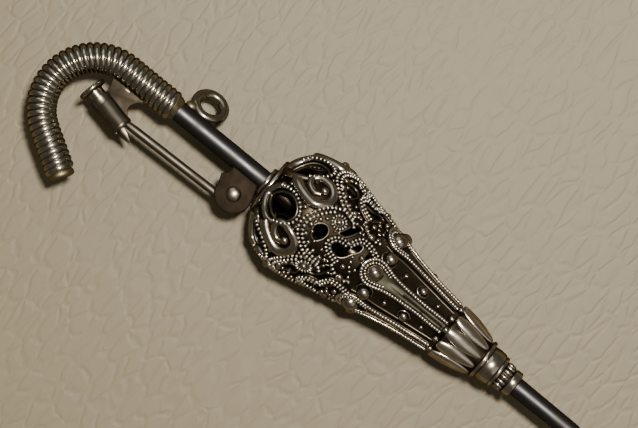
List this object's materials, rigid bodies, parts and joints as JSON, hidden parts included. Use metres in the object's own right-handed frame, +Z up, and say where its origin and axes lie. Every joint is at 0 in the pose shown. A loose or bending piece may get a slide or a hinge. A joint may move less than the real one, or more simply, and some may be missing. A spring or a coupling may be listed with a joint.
{
  "type": "hat pin",
  "caption": "Closed-parasol dress pin with a wire-wrapped crook, a pierced filigree canopy, a chain ring, and a hinged pin held by a sliding tube catch.",
  "frame": {"origin": "middle of the footprint, at the height of the canopy's lowest point", "axes": "+X along the shaft from the crook to the spike, +Y to the chain-ring side, +Z up out of the plane that the crook lies in"},
  "size_m": [0.069, 0.0202, 0.013],
  "materials": {
    "aged_silver": "worn bright silver-coloured metal with dark patina in its recesses",
    "oxidised_silver": "darkened silver-coloured metal, bright only on its high points",
    "findings_metal": "brown-grey tarnished sheet metal, satin",
    "steel_pin": "drawn pin wire, smooth, tarnished grey-brown",
    "brass_solder": "dull yellowish solder and end cap"
  },
  "bodies": {
    "root": {"canopy_collar": "aged_silver", "catch_housing": "findings_metal", "catch_solder": "brass_solder", "chain_ring": "aged_silver", "crown_boss_1": "aged_silver", "crown_boss_2": "aged_silver", "crown_boss_3": "aged_silver", "crown_boss_4": "aged_silver", "crown_boss_5": "aged_silver", "crown_boss_6": "aged_silver", "crown_lobe_1": "aged_silver", "crown_lobe_2": "aged_silver", "crown_lobe_3": "aged_silver", "crown_lobe_4": "aged_silver", "crown_lobe_5": "aged_silver", "crown_lobe_6": "aged_silver", "ferrule_band": "aged_silver", "ferrule_bead_collar": "aged_silver", "ferrule_cup": "aged_silver", "ferrule_end_ring": "aged_silver", "ferrule_ring_lower": "aged_silver", "ferrule_ring_upper": "aged_silver", "ferrule_spike": "aged_silver", "hairpin_1": "aged_silver", "hairpin_2": "aged_silver", "hairpin_3": "aged_silver", "hairpin_4": "aged_silver", "hairpin_5": "aged_silver", "hairpin_6": "aged_silver", "handle_end_cap": "brass_solder", "handle_wrap": "aged_silver", "hinge_bracket": "findings_metal", "hinge_rivet": "aged_silver", "ring_solder": "brass_solder", "scroll_panel_1": "oxidised_silver", "scroll_panel_2": "oxidised_silver", "scroll_panel_3": "oxidised_silver", "scroll_panel_4": "oxidised_silver", "scroll_panel_5": "oxidised_silver", "scroll_panel_6": "oxidised_silver", "shaft": "aged_silver", "valley_1": "oxidised_silver", "valley_2": "oxidised_silver", "valley_3": "oxidised_silver", "valley_4": "oxidised_silver", "valley_5": "oxidised_silver", "valley_6": "oxidised_silver", "wrap_solder": "brass_solder"},
    "pin_stem": {"pin_stem": "steel_pin"},
    "catch_sleeve": {"catch_sleeve": "aged_silver"}
  },
  "joints": [
    {"name": "pin_hinge", "type": "hinge", "parent": "root", "child": "pin_stem", "pos_m": [-0.0115, 0.00057, 0.00649], "axis": [0, 0, 1], "range_deg": [0, 70]},
    {"name": "sleeve_slide", "type": "slide", "parent": "root", "child": "catch_sleeve", "axis": [0.9763, -0.2164, 0], "range_m": [0, 0.0007]}
  ]
}
